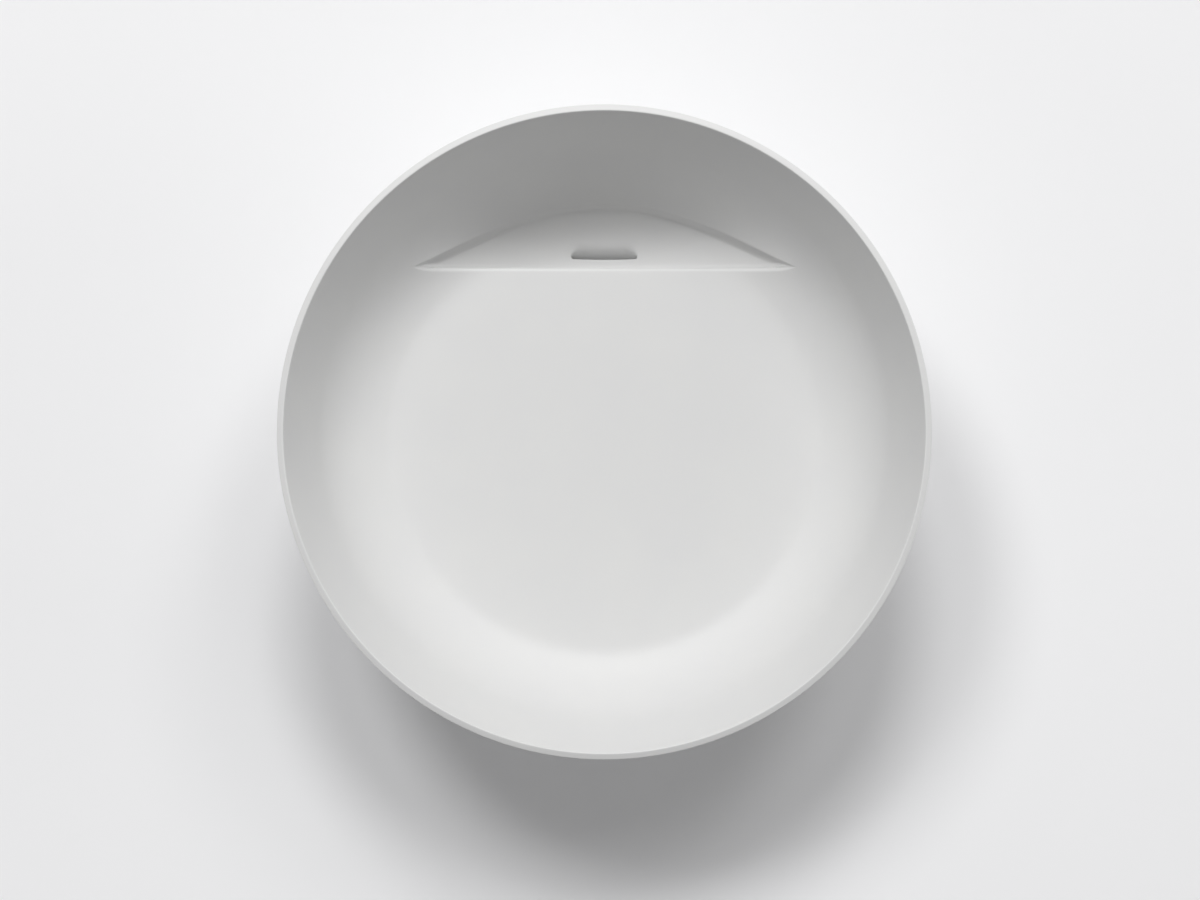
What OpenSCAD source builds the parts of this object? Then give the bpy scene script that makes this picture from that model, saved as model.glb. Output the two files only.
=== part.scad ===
// Round countertop basin with a straight lip and a hidden slot waste.
// Millimetres, +Z up, the front towards -Y and the slot towards +Y.
// The origin is the centre of the foot on the worktop.

/* [Bowl] */
// Diameter over the outside of the rim
rim_d = 400; // [360:1:480]
// Height of the rim's crest over the worktop
basin_h = 150; // [135:1:180]
// Width of the rim, from its inner edge to its outer edge
rim_w = 4; // [3:0.1:8]
// How far the rim rounds down to its outer edge
rim_drop = 2.6; // [1:0.1:4]
// Rounding of the rim's inner edge
edge_r = 0.8; // [0.4:0.1:1.5]
// Lean of the wall from upright, below the rim
wall_lean = 24; // [20:0.5:28]
// Radius of the wide fillet between wall and floor
floor_fillet_r = 62; // [50:1:70]
// Depth of the floor below the rim, at the lip
floor_depth = 77; // [72:0.5:84]
// Fall of the floor towards the lip, in degrees
floor_fall = 0.6; // [0:0.1:1]

/* [Body and foot] */
// How far the foot's edge stands in from the rim's edge, all round
foot_inset = 68; // [64:1:70]
// How far the outside bulges from a straight cone
body_bulge = 7.5; // [6:0.5:10]
// Thickness of the outer skirt
skirt_t = 9; // [7:0.5:10]
// Thickness of the shell under the floor and the scoop
shell_t = 9; // [7:0.5:10]
// Bevel inside the top corner of the hollow foot
hollow_bevel = 14; // [8:1:20]
// Thickness of the seal under the foot
seal_t = 3; // [2:0.5:5]
// Width of the seal under the foot
seal_w = 7; // [5:0.5:9]

/* [Scoop behind the lip] */
// Distance from the rim's inner edge to the lip, on the centre line
lip_back = 92; // [90:1:97]
// Set-in of the scoop's back curve from the straight wall
scoop_set_in = 0.6; // [0.4:0.1:1]
// Radius of the scoop's long back curve
scoop_wall_r = 200; // [190:1:215]
// Slope of the back curve where the bottom fillet takes over
scoop_toe = 45; // [43:1:48]
// Radius of the fillet at the scoop's bottom
scoop_fillet_r = 32; // [28:1:36]
// Radius of the scoop's bottom, seen from the front
trough_arc_r = 185; // [170:1:200]

/* [Slot] */
// Width of the slot along its straight front edge
slot_w = 42; // [34:1:50]
// Depth of the slot from front to back, seen from above
slot_d = 8; // [7:0.5:10]
// Distance from the lip to the slot
slot_gap = 6.2; // [5:0.1:8]
// Lean of the slot, which runs forward as it goes down
slot_slant = 35; // [25:1:40]
// Radius of the slot's small front corners
slot_front_r = 1.3; // [1:0.1:1.6]
// Direction of the slot's side, in degrees, where the small corner runs into the large one
slot_side_a = 30; // [20:1:45]

/* [Waste cup] */
// Height of the casting between the scoop's bottom and the cup's seat
seat_t = 10; // [9:0.5:14]
// Thickness of the seat's slab, upwards from its flat face
slab_t = 13; // [12:0.5:16]
// How far the slab reaches past the cup's flange
slab_margin = 2; // [1:0.5:4]
// Width of the cup's flange
flange_w = 88; // [86:1:92]
// Depth of the cup's flange
flange_d = 44; // [42:1:46]
// Thickness of the cup's flange
flange_t = 5; // [4:0.5:6]
// Corner radius of the cup's flange
flange_r = 9; // [7:0.5:12]
// How far the flange's middle lies in front of the slot's lower end
flange_shift = 3; // [2:0.5:4]
// Width of the cup's mouth and of its channel
mouth_w = 50; // [46:1:54]
// Depth of the cup's mouth
mouth_d = 18; // [16:0.5:20]
// Clear height of the channel to the outlet
channel_h = 6.5; // [5:0.1:9]
// Fall of the channel's floor
channel_fall = 1.5; // [0.5:0.5:3]
// Wall thickness of the cup
cup_t = 3; // [2.5:0.1:4]
// Thickness of the gasket between cup and seat
gasket_t = 2; // [1.5:0.5:3]

/* [Outlet] */
// Distance of the outlet in front of the slot's lower end
outlet_back = 56.5; // [54:0.5:60]
// Minor diameter of the G 1 1/4 inside thread
thread_minor_d = 38.95; // [38:0.05:40]
// Outside diameter of the brass thread ring
ring_d = 47; // [46:0.5:49]
// Length of the brass thread ring
ring_h = 11; // [9:0.5:14]
// Height of the outlet's end over the worktop
outlet_lift = 1; // [0.5:0.5:2]
// Thickness of the washer above the thread ring
washer_t = 2; // [1.5:0.5:3]
// Thickness of the shoulder above the washer
shoulder_t = 3; // [2:0.5:4]
// Bore above the washer, which the channel runs into
outlet_bore_d = 37; // [34:0.5:38]
// Height of the outlet's dome over the cup's flange
dome_rise = 7; // [4:1:12]

/* [Fasteners] */
// Screw diameter
screw_d = 5; // [4:0.5:6]
// Screw length under the head
screw_l = 16; // [14:1:16]
// Diameter of the screw's head
head_d = 9.5; // [8:0.5:11]
// Height of the screw's head
head_h = 3.7; // [3:0.1:4]
// Width across the flats of the screw's hexagon socket
key_af = 3; // [2.5:0.5:4]
// Depth of the screw's socket
key_depth = 2; // [1.5:0.1:2.5]
// Distance of the screws from the flange's edges
screw_inset = 8; // [7:0.5:9]
// Clearance of a screw in its hole
hole_gap = 0.5; // [0.3:0.1:1]
// Outside diameter of the plain washers
plain_washer_d = 10; // [9:0.5:12]
// Thickness of the plain washers
plain_washer_t = 1; // [0.8:0.1:1.5]
// Outside diameter of the brass inserts for the screws
insert_d = 8; // [7:0.5:9]
// Length of the brass inserts for the screws
insert_l = 8; // [6:0.5:9]
// Spare depth of each insert's hole past the insert
insert_spare = 1; // [0.5:0.5:1]
// How far the inserts for the worktop's studs stand in from the foot's edge
fixing_inset = 24; // [23:1:30]
// Minor diameter of the M8 thread in those inserts
fixing_minor_d = 6.65; // [6:0.05:7]
// Outside diameter of those inserts
fixing_insert_d = 11; // [10:0.5:12]
// Length of those inserts
fixing_insert_l = 14; // [10:1:20]
// Diameter of the pillars cast round those inserts
pillar_d = 22; // [18:1:24]

/* [Hidden] */

$fn = 96;
// Gap left round a piece that is bedded or pressed in its hole
bed_gap = 0.05;
// Overlap of a cutting shape past the face that it cuts
over = 1;
// Number of straight steps in each curve of a profile
curve_steps = 12;

rim_r = rim_d / 2;
rim_in_r = rim_r - rim_w;
foot_r = rim_r - foot_inset;
wall_tilt = 90 - wall_lean;
floor_z = basin_h - floor_depth;
lip_y = rim_in_r - lip_back;

// The floor's fillet touches the floor and the straight wall
fillet_z = floor_z + floor_fillet_r;
fillet_c = rim_in_r - (basin_h - fillet_z) * tan(wall_lean) - floor_fillet_r / sin(wall_tilt);
// Centre of the rounding at the rim's inner edge
edge_c = rim_in_r + edge_r * (1 - sin(wall_lean)) / cos(wall_lean);
rim_edge_z = basin_h - rim_drop;

// Circle of the outside, through the foot's edge and the rim's edge
chord = norm([rim_r - foot_r, rim_edge_z - seal_t]);
body_r = (pow(chord / 2, 2) + pow(body_bulge, 2)) / (2 * body_bulge);
chord_out = [rim_edge_z - seal_t, foot_r - rim_r] / chord;
body_c = [rim_r + foot_r, rim_edge_z + seal_t] / 2 - chord_out * (body_r - body_bulge);
foot_in_r = body_at(seal_t, skirt_t);
hollow_z = floor_z - shell_t;

// Heights of the waste's parts, from the outlet's end up to the scoop's bottom
channel_end_z = outlet_lift + ring_h + washer_t + shoulder_t;
channel_z = channel_end_z + channel_fall;
channel_top = channel_z + channel_h;
flange_top = channel_top + cup_t;
flange_z = flange_top - flange_t;
seat_z = flange_top + gasket_t;
trough_z = seat_z + seat_t;

// The scoop's back curve starts parallel to the wall at the join, and its fillet touches it at the toe
scoop_top_r = rim_in_r - scoop_set_in / cos(wall_lean);
join_z = trough_z + scoop_fillet_r * (1 - cos(scoop_toe)) + scoop_wall_r * (cos(scoop_toe) - cos(wall_tilt));
join = [scoop_top_r - (basin_h - join_z) * tan(wall_lean), join_z];
curve_c = join - scoop_wall_r * [sin(wall_tilt), -cos(wall_tilt)];
toe = curve_c + scoop_wall_r * [sin(scoop_toe), -cos(scoop_toe)];
scoop_c = toe - scoop_fillet_r * [sin(scoop_toe), -cos(scoop_toe)];

// Places of the slot, the cup and the outlet
slot_y = lip_y + slot_gap;
slot_rise = scoop_fillet_r - sqrt(pow(scoop_fillet_r, 2) - pow(slot_y + slot_d - scoop_c[0], 2));
slot_across = slot_d * cos(slot_slant) - slot_rise * sin(slot_slant);
slot_back_r = (slot_across - slot_front_r * (1 + sin(slot_side_a))) / (1 - sin(slot_side_a));
mouth_y = slot_y + slot_across / cos(slot_slant) / 2 - seat_t * tan(slot_slant);
flange_y = mouth_y - flange_shift;
outlet_y = mouth_y - outlet_back;
dome_r = mouth_w / 2 + cup_t;
dome_z = flange_top + dome_rise;
screw_x = flange_w / 2 - screw_inset;
screw_y = flange_d / 2 - screw_inset;
hole_d = screw_d + hole_gap;
head_z = flange_z - plain_washer_t;

// Three studs hold the basin, clear of the scoop
fixing_count = 3;
fixing_r = foot_r - fixing_inset;

function arc_points(c, r, a0, a1) =
    [for (i = [0:curve_steps]) c + r * [cos(a0 + (a1 - a0) * i / curve_steps),
        sin(a0 + (a1 - a0) * i / curve_steps)]];

// Radius of the outside, moved in by a thickness, at a height
function body_at(z, inset) = body_c[0] + sqrt(pow(body_r - inset, 2) - pow(z - body_c[1], 2));

// A plate with round corners, its middle at the origin
module plate(w, d, r, h) {
    linear_extrude(h) {
        square([w - 2 * r, d], center = true);
        square([w, d - 2 * r], center = true);
        for (x = [-1, 1], y = [-1, 1])
            translate([x * (w / 2 - r), y * (d / 2 - r)])
                circle(r);
    }
}

// Puts its children at the cup's four screws
module at_screws() {
    for (x = [-1, 1], y = [-1, 1])
        translate([x * screw_x, flange_y + y * screw_y, 0])
            children();
}

// Puts its children at the inserts in the foot
module at_fixings() {
    for (i = [0:fixing_count - 1])
        rotate([0, 0, 360 * i / fixing_count - 90])
            translate([fixing_r, 0, 0])
                children();
}

// A plain ring or tube
module ring(outer_d, inner_d, h) {
    difference() {
        cylinder(d = outer_d, h = h);
        translate([0, 0, -over])
            cylinder(d = inner_d, h = h + 2 * over);
    }
}

// The bowl's outside, filled solid
module outside() {
    crown = [for (i = [0:curve_steps]) let (a = 90 * i / curve_steps)
        [edge_c + (rim_r - edge_c) * cos(a), rim_edge_z + rim_drop * sin(a)]];
    sides = [for (i = [0:2 * curve_steps]) let (z = seal_t + (rim_edge_z - seal_t) * i / (2 * curve_steps))
        [body_at(z, 0), z]];
    rotate_extrude()
        polygon(concat([[0, seal_t]], [for (i = [0:len(sides) - 2]) sides[i]], crown, [[0, basin_h]]));
}

// The bowl's round inside, down to the floor
module round_hollow() {
    rotate_extrude()
        polygon(concat([[0, basin_h + over], [0, floor_z]],
            arc_points([fillet_c, fillet_z], floor_fillet_r, -90, -wall_lean),
            arc_points([edge_c, basin_h - edge_r], edge_r, 180 - wall_lean, 90),
            [[edge_c, basin_h + over]]));
}

// The round inside above the floor's gentle fall to the lip
module main_hollow() {
    intersection() {
        round_hollow();
        translate([0, lip_y, floor_z])
            rotate([-floor_fall, 0, 0])
                translate([-rim_d, -2 * rim_d, 0])
                    cube([2 * rim_d, 4 * rim_d, 2 * basin_h]);
    }
}

// The scoop behind the lip, grown by a thickness towards the casting's underside
module scoop(grow) {
    wall_out = [cos(wall_lean), -sin(wall_lean)];
    intersection() {
        rotate_extrude()
            polygon(concat([[0, basin_h], [0, trough_z - grow]],
                arc_points(scoop_c, scoop_fillet_r + grow, -90, scoop_toe - 90),
                arc_points(curve_c, scoop_wall_r + grow, scoop_toe - 90, -wall_lean),
                [[scoop_top_r, basin_h] + grow * wall_out, [scoop_top_r, basin_h]]));
        translate([0, 0, trough_z + trough_arc_r])
            rotate([-90, 0, 0])
                cylinder(r = trough_arc_r + grow, h = rim_r);
        translate([-rim_r, lip_y - grow, 0])
            cube([rim_d, rim_r, basin_h]);
    }
}

// The hollow under the floor, inside the skirt, clear of the scoop's shell
module foot_hollow() {
    top = hollow_z - hollow_bevel;
    side = [for (i = [0:curve_steps]) let (z = seal_t - over + (top - seal_t + over) * i / curve_steps)
        [body_at(z, skirt_t), z]];
    difference() {
        rotate_extrude()
            polygon(concat([[0, seal_t - over]], side,
                [[body_at(hollow_z, skirt_t) - hollow_bevel, hollow_z], [0, hollow_z]]));
        scoop(shell_t);
    }
}

// The slot's outline, square to its walls: a long straight front edge and a shorter back edge
module slot_outline() {
    front_c = [slot_w / 2 - slot_front_r, slot_front_r];
    back_c = front_c + (slot_front_r - slot_back_r) * [cos(slot_side_a), sin(slot_side_a)];
    right = concat(arc_points(front_c, slot_front_r, -90, slot_side_a),
        [for (i = [1:curve_steps]) let (a = slot_side_a + (90 - slot_side_a) * i / curve_steps)
            back_c + slot_back_r * [cos(a), sin(a)]]);
    polygon(concat(right, [for (i = [len(right) - 1:-1:0]) [-right[i][0], right[i][1]]]));
}

// The slot leans, so the casting hides what is below it. It runs on above the scoop's rising fillet
module slot() {
    below = seat_t / cos(slot_slant) + slot_d;
    above = scoop_fillet_r / 2;
    translate([0, slot_y, trough_z])
        rotate([-slot_slant, 0, 0])
            translate([0, 0, -below])
                linear_extrude(below + above)
                    slot_outline();
}

// Solid-surface casting: bowl, skirt, foot, the cup's seat and the fixing pillars
module basin_bowl() {
    color("whitesmoke")
        difference() {
            union() {
                difference() {
                    outside();
                    foot_hollow();
                }
                translate([0, flange_y, seat_z])
                    plate(flange_w + 2 * slab_margin, flange_d + 2 * slab_margin,
                        flange_r + slab_margin, slab_t);
                at_fixings()
                    translate([0, 0, seal_t])
                        cylinder(d = pillar_d, h = hollow_z - seal_t + over);
            }
            main_hollow();
            scoop(0);
            slot();
            at_screws()
                translate([0, 0, seat_z - over])
                    cylinder(d = insert_d + 2 * bed_gap, h = insert_l + insert_spare + over);
            at_fixings()
                translate([0, 0, seal_t - over])
                    cylinder(d = fixing_insert_d + 2 * bed_gap, h = fixing_insert_l + insert_spare + over);
        }
}

// Closed-cell rubber ring between foot and worktop
module foot_seal() {
    mid_d = foot_r + foot_in_r;
    color("dimgray")
        ring(mid_d + seal_w, mid_d - seal_w, seal_t);
}

// Brass inserts in the foot's pillars, for studs through the worktop
module fixing_inserts() {
    color("goldenrod")
        at_fixings()
            translate([0, 0, seal_t])
                ring(fixing_insert_d, fixing_minor_d, fixing_insert_l);
}

// Brass inserts in the seat, for the cup's screws
module cup_inserts() {
    color("goldenrod")
        at_screws()
            translate([0, 0, seat_z])
                ring(insert_d, screw_d + 2 * bed_gap, insert_l);
}

// Flat rubber gasket with the flange's outline
module cup_gasket() {
    color("black")
        difference() {
            translate([0, flange_y, flange_top])
                plate(flange_w, flange_d, flange_r, gasket_t);
            translate([-mouth_w / 2, mouth_y - mouth_d / 2, flange_top - over])
                cube([mouth_w, mouth_d, gasket_t + 2 * over]);
            at_screws()
                translate([0, 0, flange_top - over])
                    cylinder(d = hole_d, h = gasket_t + 2 * over);
        }
}

// The channel in the cup: open under the slot, falling to the outlet
module cup_channel() {
    mouth_back = mouth_y + mouth_d / 2;
    translate([-mouth_w / 2, 0, 0])
        rotate([90, 0, 90])
            linear_extrude(mouth_w)
                polygon([[outlet_y, channel_end_z], [mouth_back, channel_z],
                    [mouth_back, flange_top + over], [mouth_back - mouth_d, flange_top + over],
                    [mouth_back - mouth_d, channel_top], [outlet_y, channel_top]]);
}

// Moulded cup that leads the water from the slot to the outlet
module waste_cup() {
    body_y1 = mouth_y + mouth_d / 2 + cup_t;
    body_z0 = channel_end_z - cup_t;
    color("dimgray")
        difference() {
            union() {
                translate([0, flange_y, flange_z])
                    plate(flange_w, flange_d, flange_r, flange_t);
                translate([-dome_r, outlet_y, body_z0])
                    cube([2 * dome_r, body_y1 - outlet_y, flange_top - body_z0]);
                translate([0, outlet_y, outlet_lift])
                    cylinder(r = dome_r, h = dome_z - outlet_lift);
            }
            cup_channel();
            translate([0, outlet_y, outlet_lift - over])
                cylinder(d = ring_d + 2 * bed_gap, h = ring_h + washer_t + over);
            translate([0, outlet_y, outlet_lift])
                cylinder(d = outlet_bore_d, h = channel_z - outlet_lift);
            translate([0, outlet_y, channel_end_z])
                cylinder(d = mouth_w, h = dome_z - cup_t - channel_end_z);
            at_screws()
                translate([0, 0, flange_z - over])
                    cylinder(d = hole_d, h = flange_t + 2 * over);
        }
}

// Plain washers under the screw heads
module cup_washers() {
    color("silver")
        at_screws()
            translate([0, 0, head_z])
                ring(plain_washer_d, hole_d, plain_washer_t);
}

// Button-head screws, driven up into the inserts
module cup_screws() {
    color("silver")
        at_screws()
            difference() {
                union() {
                    translate([0, 0, head_z - head_h])
                        cylinder(d = head_d, h = head_h);
                    translate([0, 0, head_z])
                        cylinder(d = screw_d, h = screw_l);
                }
                translate([0, 0, head_z - head_h - over])
                    cylinder(d = key_af / cos(30), h = key_depth + over, $fn = 6);
            }
}

// Brass ring with the inside thread that takes the tail of the trap
module outlet_ring() {
    color("goldenrod")
        translate([0, outlet_y, outlet_lift])
            ring(ring_d, thread_minor_d, ring_h);
}

// Rubber washer that the tail is screwed up against
module outlet_washer() {
    color("black")
        translate([0, outlet_y, outlet_lift + ring_h])
            ring(ring_d, outlet_bore_d, washer_t);
}

basin_bowl();
foot_seal();
fixing_inserts();
cup_inserts();
cup_gasket();
waste_cup();
cup_washers();
cup_screws();
outlet_ring();
outlet_washer();
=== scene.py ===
# %% [markdown]
# # A round countertop basin with a hidden slot waste
#
# The object is one seamless white casting: a thin rim, steep walls, a wide fillet, an almost flat floor
# that ends in a straight lip, and a scoop behind the lip with a narrow slot at its bottom. Under the
# foot it has a rubber ring, and under the slot a moulded cup with its gasket, screws and thread ring.
#
# The solids in model.glb already have the right places. This lesson loads them as a fixed frame,
# builds one fine surface over the casting, and gives every piece a material that is worked out from
# what it is made of. All lengths in the helpers are in millimetres, as on a workshop drawing. Blender
# works in metres, so they are divided by a thousand where a mesh is made.

# %% Load the solids
import math
import bmesh
import bpy
import numpy as np
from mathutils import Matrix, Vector


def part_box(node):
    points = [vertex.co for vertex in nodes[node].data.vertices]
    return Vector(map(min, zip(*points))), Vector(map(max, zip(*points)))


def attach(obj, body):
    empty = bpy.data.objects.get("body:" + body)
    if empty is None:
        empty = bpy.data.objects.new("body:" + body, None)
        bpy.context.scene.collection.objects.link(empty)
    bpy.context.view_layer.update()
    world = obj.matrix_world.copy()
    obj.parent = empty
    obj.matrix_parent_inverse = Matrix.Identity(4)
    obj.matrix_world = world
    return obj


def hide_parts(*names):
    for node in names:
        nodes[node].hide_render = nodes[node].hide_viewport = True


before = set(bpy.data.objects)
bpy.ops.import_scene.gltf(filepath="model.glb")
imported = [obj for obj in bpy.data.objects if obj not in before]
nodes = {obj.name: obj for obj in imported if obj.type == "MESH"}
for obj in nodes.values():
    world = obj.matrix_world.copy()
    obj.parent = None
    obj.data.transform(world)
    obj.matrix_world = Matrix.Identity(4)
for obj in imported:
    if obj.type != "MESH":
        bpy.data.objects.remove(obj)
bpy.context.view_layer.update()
MM_PER_M = 1000.0
print("nodes:", ", ".join(sorted(nodes)))

# %% [markdown]
# ## The view
#
# The photograph looks straight down. A perspective camera is put over the basin, far enough away for
# the rim to hide the outside. The rim measures 656 pixels across in a frame of 1200 pixels, which
# gives the focal length, and the middle of the rim gives the place of the camera.

# %% Camera
FRAME_W, FRAME_H = 1200.0, 900.0
SENSOR_MM = 36.0
RIM_TOP = 150.0
RIM_PX, RIM_MM = 655.8, 400.0
RIM_MIDDLE_PX = (604.4, 431.9)
CAMERA_HEIGHT = 2200.0

px_per_mm = RIM_PX / RIM_MM
camera_data = bpy.data.cameras.new("overhead_camera")
camera_data.sensor_width = SENSOR_MM
camera_data.lens = px_per_mm * CAMERA_HEIGHT * SENSOR_MM / FRAME_W
camera = bpy.data.objects.new("overhead_camera", camera_data)
camera.location = Vector(((FRAME_W / 2 - RIM_MIDDLE_PX[0]) / px_per_mm,
                          (RIM_MIDDLE_PX[1] - FRAME_H / 2) / px_per_mm,
                          RIM_TOP + CAMERA_HEIGHT)) / MM_PER_M
bpy.context.scene.collection.objects.link(camera)
bpy.context.scene.camera = camera
print("focal length %.1f mm" % camera_data.lens)

# %% [markdown]
# ## The bowl as a height over the plan
#
# A casting like this is drawn by turning one profile round the middle: a wall that leans, a large
# fillet, a flat floor. The floor itself is a plane that falls a little towards the lip. A height for
# each point of the plan says all of that in one formula, and the same formula serves every patch of
# the surface, so the patches meet without a seam. A sculpted mesh could look the same from above, but
# it would drift away from the solid underneath.

# %% Sizes of the bowl
FLOOR_Z = 73.0
FLOOR_FALL = math.radians(0.6)
FLOOR_SOFT = 1.2
LIP_Y = 104.0
WALL_LEAN = math.radians(24.0)
FILLET_R = 62.0
RIM_IN_R = 196.0
EDGE_R = 0.8
RIM_DROP = 2.6
RIM_TILT, RIM_OUTER_R = math.radians(21.0), 0.4
RIM_R = min(abs(v) for v in (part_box("basin_bowl")[0].y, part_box("basin_bowl")[1].y)) * MM_PER_M

fillet_z = FLOOR_Z + FILLET_R
fillet_c = RIM_IN_R - (RIM_TOP - fillet_z) * math.tan(WALL_LEAN) - FILLET_R / math.cos(WALL_LEAN)
wall_r = fillet_c + FILLET_R * math.cos(WALL_LEAN)
print("fillet from r %.1f to r %.1f mm" % (fillet_c, wall_r))


# %% Height of the bowl
ARC_END = 0.999


def soft_max(a, b, k):
    """The larger of a and b, with a round join where they differ by less than k."""
    h = np.clip(0.5 + 0.5 * (a - b) / k, 0.0, 1.0)
    return b * (1.0 - h) + a * h + k * h * (1.0 - h)


def turned_height(r):
    """Height of the turned profile: the floor, then the lower quarter of a circle, then a straight wall."""
    arc = fillet_z - np.sqrt(FILLET_R ** 2 - np.clip(r - fillet_c, 0.0, FILLET_R * ARC_END) ** 2)
    wall = RIM_TOP - (RIM_IN_R - r) / math.tan(WALL_LEAN)
    return np.where(r > wall_r, wall, arc)


def bowl_height(x, y):
    """The turned profile or the sloping floor plane, whichever is higher, with a soft join."""
    floor = FLOOR_Z + (LIP_Y - y) * math.tan(FLOOR_FALL)
    return soft_max(turned_height(np.hypot(x, y)), floor, FLOOR_SOFT)


print("floor at the front %.2f mm" % bowl_height(np.array(0.0), np.array(-120.0)))

# %% [markdown]
# ## The scoop behind the lip
#
# Behind the lip the casting drops by 33 mm into a crescent-shaped scoop. There the basin's wall doesn't
# end in the bowl's fillet but is carried on downwards in a long arc, most in the middle and not at all
# at the scoop's two tips. A brink crosses this wall along a bell-shaped line in plan, which runs into
# the lip at the tips. Inside it a short, steep flank falls to the scoop's floor, which starts level and
# then rises to meet the flank. Across the basin the floor is a long arc, like the side of a wheel, so
# the scoop gets shallower towards its pointed tips.

# %% Sizes of the scoop
TROUGH_Z = 40.0
TROUGH_ARC_R = 187.0
SCOOP_FLOOR_R, SCOOP_FLAT_R = 56.0, 111.0
FLOOR_REACH = 36.0
SCOOP_WALL_R, SCOOP_JOIN_Z, SCOOP_WALL_END_R = 240.0, 113.6, 141.0
SCOOP_SET_IN = 0.6
BRINK_TIP, BRINK_BACK, BRINK_POWER = 122.0, 41.0, 1.25
FLANK_LEAN = math.radians(22.0)

scoop_top_r = RIM_IN_R - SCOOP_SET_IN / math.cos(WALL_LEAN)
join_r = scoop_top_r - (RIM_TOP - SCOOP_JOIN_Z) * math.tan(WALL_LEAN)
wall_c = (join_r - SCOOP_WALL_R * math.cos(WALL_LEAN), SCOOP_JOIN_Z + SCOOP_WALL_R * math.sin(WALL_LEAN))
floor_c = (SCOOP_FLAT_R, TROUGH_Z + SCOOP_FLOOR_R)
tip_angle = math.atan2(BRINK_TIP, LIP_Y)
print("scoop's brink %.0f mm behind the lip, its tips %.1f mm from the middle" % (BRINK_BACK, BRINK_TIP))


# %% Height of the scoop
FLANK_BLEND, TROUGH_BLEND = 3.0, 5.0
BRINK_SOFT = 1.2


def on_arc(distance, centre, radius):
    """Height of a circle's lower right quarter at a distance from the middle, level to the left of it."""
    return centre[1] - np.sqrt(radius ** 2 - np.clip(distance - centre[0], 0.0, ARC_END * radius) ** 2)


def wall_height(x, y):
    """The bowl, lowered by a share of its height over the long arc: (1 - (angle / tip's angle)^4)^2."""
    r = np.hypot(x, y)
    line = RIM_TOP - (scoop_top_r - r) / math.tan(WALL_LEAN)
    steep = np.where(r > join_r, line, on_arc(np.maximum(r, SCOOP_WALL_END_R), wall_c, SCOOP_WALL_R))
    to_tip = np.clip(np.abs(np.arctan2(x, y)) / tip_angle, 0.0, 1.0)
    bowl = bowl_height(x, y)
    return bowl - (1.0 - to_tip ** 4) ** 2 * np.maximum(bowl - steep, 0.0)


def brink_line(x):
    """How far the brink lies behind the lip, back (1 - (x / tip)^2)^power, and how steeply it runs there."""
    share = np.clip(1.0 - (x / BRINK_TIP) ** 2, 0.0, 1.0)
    steep = 2.0 * BRINK_POWER * BRINK_BACK * x / BRINK_TIP ** 2 * share ** (BRINK_POWER - 1.0)
    return BRINK_BACK * share ** BRINK_POWER, steep


def scoop_height(x, y):
    """Highest of the rising floor, the steep flank inside the brink's line and the long arc across."""
    floor = on_arc(np.minimum(np.hypot(x, y), SCOOP_FLAT_R + FLOOR_REACH), floor_c, SCOOP_FLOOR_R)
    back, steep = brink_line(x)
    flank = wall_height(x, y) + (y - LIP_Y - back) / np.hypot(1.0, steep) / math.tan(FLANK_LEAN)
    across = on_arc(np.abs(x), (0.0, TROUGH_Z + TROUGH_ARC_R), TROUGH_ARC_R)
    return soft_max(soft_max(floor, flank, FLANK_BLEND), across, TROUGH_BLEND)


def back_height(x, y):
    """Height behind the lip: the wall less the scoop's depth s, which fades in as s (1 - exp(-s / soft))."""
    wall = wall_height(x, y)
    s = np.maximum(wall - scoop_height(x, y), 0.0)
    return wall - s * (1.0 - np.exp(-s / BRINK_SOFT))


def scoop_depth(x, y):
    """How far the casting behind the lip lies under the bowl."""
    return bowl_height(x, y) - back_height(x, y)


across_lip = np.linspace(0.0, 130.0, 1301)
lip_drop = scoop_depth(across_lip, np.full_like(across_lip, LIP_Y))
print("the lip drops %.1f mm and ends %.1f mm from the middle"
      % (lip_drop[0], across_lip[np.argmax(lip_drop <= 0.01)]))

# %% [markdown]
# ## Patches
#
# A surface with one straight edge in a round bowl is awkward for a single grid: a polar grid cuts
# across the lip and a square grid cuts across the wall. So the plan is split into patches that follow
# the forms. The disc inside a working circle is cut along the lip into a front patch and a back
# patch. Rings of a polar grid run from the circle up the wall, over the rim and down the outside.
# Each patch is a function of two parameters, worked out as a whole array of points.

# %% Grid counts and the working circle
N_LIP, N_SIDE = 240, 100
DISC_R = 165.0
FRONT_RIGHT, FRONT_LEFT = -math.pi / 4.0, -3.0 * math.pi / 4.0
TINY = 1e-6

end_angle = math.asin(LIP_Y / DISC_R)
lip_angles = np.linspace(math.pi - end_angle, end_angle, N_LIP + 1)
right_angles = np.linspace(end_angle, FRONT_RIGHT, N_SIDE + 1)
front_angles = np.linspace(FRONT_RIGHT, FRONT_LEFT, N_LIP + 1)
left_angles = np.linspace(FRONT_LEFT, -math.pi - end_angle, N_SIDE + 1)
round_angles = np.concatenate([lip_angles[:-1], right_angles[:-1], front_angles[:-1], left_angles[:-1]])
lip_x = DISC_R * np.cos(lip_angles)
print("%d points round the bowl, %.2f mm apart along the lip"
      % (len(round_angles), lip_x[N_LIP // 2 + 1] - lip_x[N_LIP // 2]))


# %% Collect patches into one mesh
patch_points, patch_faces = [], []


def grid_quads(index):
    """Four corners of each cell in a two-way table of vertex numbers."""
    return np.stack([index[:-1, :-1], index[1:, :-1], index[1:, 1:], index[:-1, 1:]], -1).reshape(-1, 4)


def add_patch(points, keep=None):
    """Adds an (n, m, 3) array of points in mm and its quads, without the cells where keep is False."""
    start = sum(len(p) for p in patch_points)
    index = start + np.arange(points.shape[0] * points.shape[1]).reshape(points.shape[:2])
    quads = grid_quads(index)
    if keep is not None:
        quads = quads[keep.reshape(-1)]
    patch_points.append(points.reshape(-1, 3))
    patch_faces.append(quads)
    return len(quads)


def raised(x, y, height):
    """Points over a plan, with their height from a function of x and y."""
    return np.stack([x, y, height(x, y)], -1)


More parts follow.
